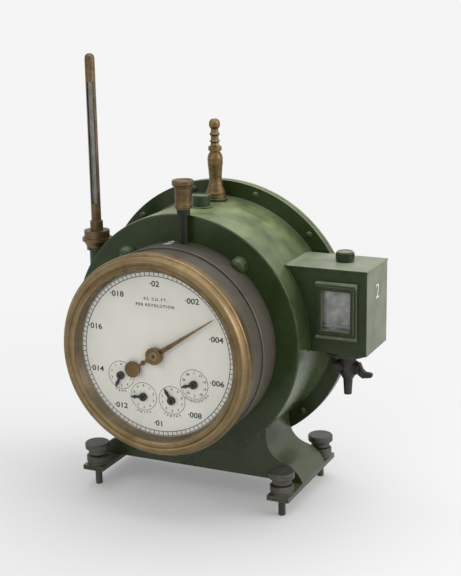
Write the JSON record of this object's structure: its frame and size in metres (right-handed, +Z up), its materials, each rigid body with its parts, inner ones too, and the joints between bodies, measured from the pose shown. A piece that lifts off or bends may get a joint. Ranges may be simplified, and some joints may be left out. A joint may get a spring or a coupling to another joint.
{
  "type": "laboratory gas meter",
  "caption": "Laboratory wet gas meter: green drum casing, brass-rimmed register dial, level box with window, thermometer, hose tails and levelling screws.",
  "frame": {"origin": "on the bench, midway between the tips of the levelling screws", "axes": "+Z up, the dial faces -Y, the level box is on +X; the drum turns about the line along Y at 133.5 mm height"},
  "size_m": [0.2524, 0.1812, 0.3485],
  "materials": {
    "green_paint": "semi-gloss, worn at the edges",
    "gunmetal": "dull grey-brown bronze paint",
    "bezel_brass": "aged, brushed",
    "dark_brass": "aged, dull",
    "movement_brass": "machined",
    "dull_steel": "dark, oxidised",
    "shaft_steel": "turned",
    "tinned_sheet": "tinned, dull",
    "dial_enamel": "matt white",
    "black_paint": "satin black",
    "clear_glass": "clear",
    "gasket_rubber": "matt"
  },
  "bodies": {
    "meter": {"counter_back_plate": "movement_brass", "counter_front_plate": "movement_brass", "counter_pillars": "movement_brass", "cover_bolts": "green_paint", "cover_nuts": "green_paint", "dial_bezel": "bezel_brass", "dial_glass": "clear_glass", "dial_housing": "gunmetal", "dial_inner_ring": "dark_brass", "dial_plate": "dial_enamel", "drain_cock_body": "dull_steel", "drain_flange": "dull_steel", "drum_casing": "green_paint", "filler_tube": "dark_brass", "foot_bar_left": "green_paint", "foot_bar_right": "green_paint", "front_bearing": "movement_brass", "gland_nut": "movement_brass", "housing_dome_nuts": "green_paint", "inlet_hose_tail": "dark_brass", "inlet_pipe": "movement_brass", "level_box": "green_paint", "level_box_lid": "green_paint", "level_glass": "clear_glass", "level_hook": "movement_brass", "lock_nuts": "dull_steel", "outlet_hose_tail": "dark_brass", "rear_bearing": "movement_brass", "rear_cover": "green_paint", "rear_gasket": "gasket_rubber", "side_sheet_left": "green_paint", "side_sheet_right": "green_paint", "stand_front_plate": "green_paint", "stand_rear_plate": "green_paint", "thermometer_pocket": "green_paint", "window_clamp": "movement_brass", "window_frame": "green_paint"},
    "measuring_drum_body": {"measuring_drum": "tinned_sheet", "drum_shaft": "shaft_steel", "main_hand": "bezel_brass"},
    "link": {"link_arbor": "movement_brass"},
    "hundredths": {"hundredths_arbor": "movement_brass", "hundredths_hand": "black_paint"},
    "tenths": {"tenths_arbor": "movement_brass", "tenths_hand": "black_paint"},
    "units": {"units_arbor": "movement_brass", "units_hand": "black_paint"},
    "tens": {"tens_arbor": "movement_brass", "tens_hand": "black_paint"},
    "screw_front_left": {"levelling_screw_front_left": "dull_steel"},
    "screw_front_right": {"levelling_screw_front_right": "dull_steel"},
    "screw_rear_left": {"levelling_screw_rear_left": "dull_steel"},
    "screw_rear_right": {"levelling_screw_rear_right": "dull_steel"},
    "drain_key": {"drain_cock_key": "dull_steel"},
    "filler_cap_body": {"filler_cap": "dark_brass"},
    "casing_plug_body": {"casing_plug": "green_paint"},
    "box_plug_body": {"level_box_plug": "green_paint"},
    "thermometer": {"thermometer_guard": "dark_brass", "thermometer_glass": "clear_glass", "thermometer_union_nut": "dark_brass"}
  },
  "joints": [
    {"name": "drum_spin", "type": "hinge", "parent": "meter", "child": "measuring_drum_body", "pos_m": [0, 0, 0.1335], "axis": [0, 1, 0], "continuous": true},
    {"name": "link_spin", "type": "hinge", "parent": "meter", "child": "link", "pos_m": [0.01979, -0.075, 0.12464], "axis": [0, 1, 0], "continuous": true},
    {"name": "hundredths_spin", "type": "hinge", "parent": "meter", "child": "hundredths", "pos_m": [0.03063, -0.075, 0.11402], "axis": [0, 1, 0], "continuous": true},
    {"name": "tenths_spin", "type": "hinge", "parent": "meter", "child": "tenths", "pos_m": [0.01193, -0.075, 0.09921], "axis": [0, 1, 0], "continuous": true},
    {"name": "units_spin", "type": "hinge", "parent": "meter", "child": "units", "pos_m": [-0.01193, -0.075, 0.09921], "axis": [0, 1, 0], "continuous": true},
    {"name": "tens_spin", "type": "hinge", "parent": "meter", "child": "tens", "pos_m": [-0.03063, -0.075, 0.11402], "axis": [0, 1, 0], "continuous": true},
    {"name": "level_front_left", "type": "slide", "parent": "meter", "child": "screw_front_left", "axis": [0, 0, 1], "range_m": [0, 0.012]},
    {"name": "level_front_right", "type": "slide", "parent": "meter", "child": "screw_front_right", "axis": [0, 0, 1], "range_m": [0, 0.012]},
    {"name": "level_rear_left", "type": "slide", "parent": "meter", "child": "screw_rear_left", "axis": [0, 0, 1], "range_m": [0, 0.012]},
    {"name": "level_rear_right", "type": "slide", "parent": "meter", "child": "screw_rear_right", "axis": [0, 0, 1], "range_m": [0, 0.012]},
    {"name": "drain_cock_turn", "type": "hinge", "parent": "meter", "child": "drain_key", "pos_m": [0.1188, 0.0034, 0.1109], "axis": [1, 0, 0], "range_deg": [0, 90]},
    {"name": "filler_cap_lift", "type": "slide", "parent": "meter", "child": "filler_cap_body", "axis": [0, 0, 1], "range_m": [0, 0.03]},
    {"name": "casing_plug_lift", "type": "slide", "parent": "meter", "child": "casing_plug_body", "axis": [0, 0, 1], "range_m": [0, 0.02]},
    {"name": "box_plug_lift", "type": "slide", "parent": "meter", "child": "box_plug_body", "axis": [0, 0, 1], "range_m": [0, 0.02]},
    {"name": "thermometer_lift", "type": "slide", "parent": "meter", "child": "thermometer", "axis": [0, 0, 1], "range_m": [0, 0.12]}
  ],
  "couplings": [
    {"joint": "link_spin", "follows": "drum_spin", "ratio": -0.25},
    {"joint": "hundredths_spin", "follows": "drum_spin", "ratio": 0.1},
    {"joint": "tenths_spin", "follows": "drum_spin", "ratio": -0.02},
    {"joint": "units_spin", "follows": "drum_spin", "ratio": 0.002},
    {"joint": "tens_spin", "follows": "drum_spin", "ratio": -0.0002}
  ]
}
